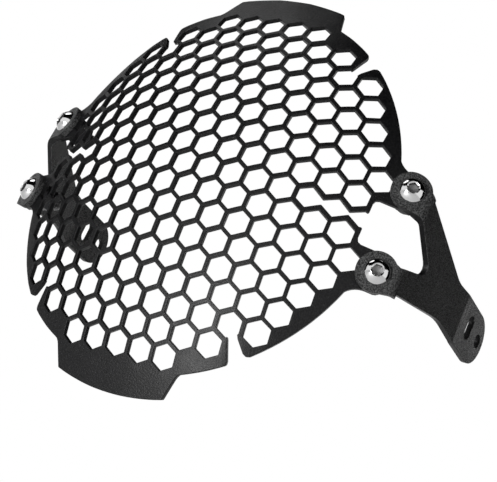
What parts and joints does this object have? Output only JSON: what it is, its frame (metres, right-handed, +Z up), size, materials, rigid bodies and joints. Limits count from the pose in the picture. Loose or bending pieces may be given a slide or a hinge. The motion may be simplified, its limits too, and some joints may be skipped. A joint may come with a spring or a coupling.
{
  "type": "motorcycle headlight guard",
  "caption": "Domed honeycomb headlight guard of black sheet metal on two forked side brackets with slotted tabs",
  "frame": {"origin": "midway between the round holes of the two tabs, on the line that the headlight's side bolts take", "axes": "+X to the guard's right as seen from in front of the bike facing it, -Y forwards out of the dome, +Z up"},
  "size_m": [0.2024, 0.1039, 0.186],
  "materials": {
    "black_coat": "fine textured powder coat, satin",
    "polished_steel": "polished stainless steel",
    "zinc": "bright zinc plate",
    "nylon": "natural nylon"
  },
  "bodies": {
    "root": {"grille": "black_coat", "bracket_left": "black_coat", "bracket_right": "black_coat", "screw_upper_left": "polished_steel", "screw_upper_right": "polished_steel", "screw_lower_left": "polished_steel", "screw_lower_right": "polished_steel", "washer_upper_left": "zinc", "washer_upper_right": "zinc", "washer_lower_left": "zinc", "washer_lower_right": "zinc", "nut_upper_left": "zinc", "nut_upper_right": "zinc", "nut_lower_left": "zinc", "nut_lower_right": "zinc", "nut_ring_upper_left": "nylon", "nut_ring_upper_right": "nylon", "nut_ring_lower_left": "nylon", "nut_ring_lower_right": "nylon"}
  },
  "joints": []
}
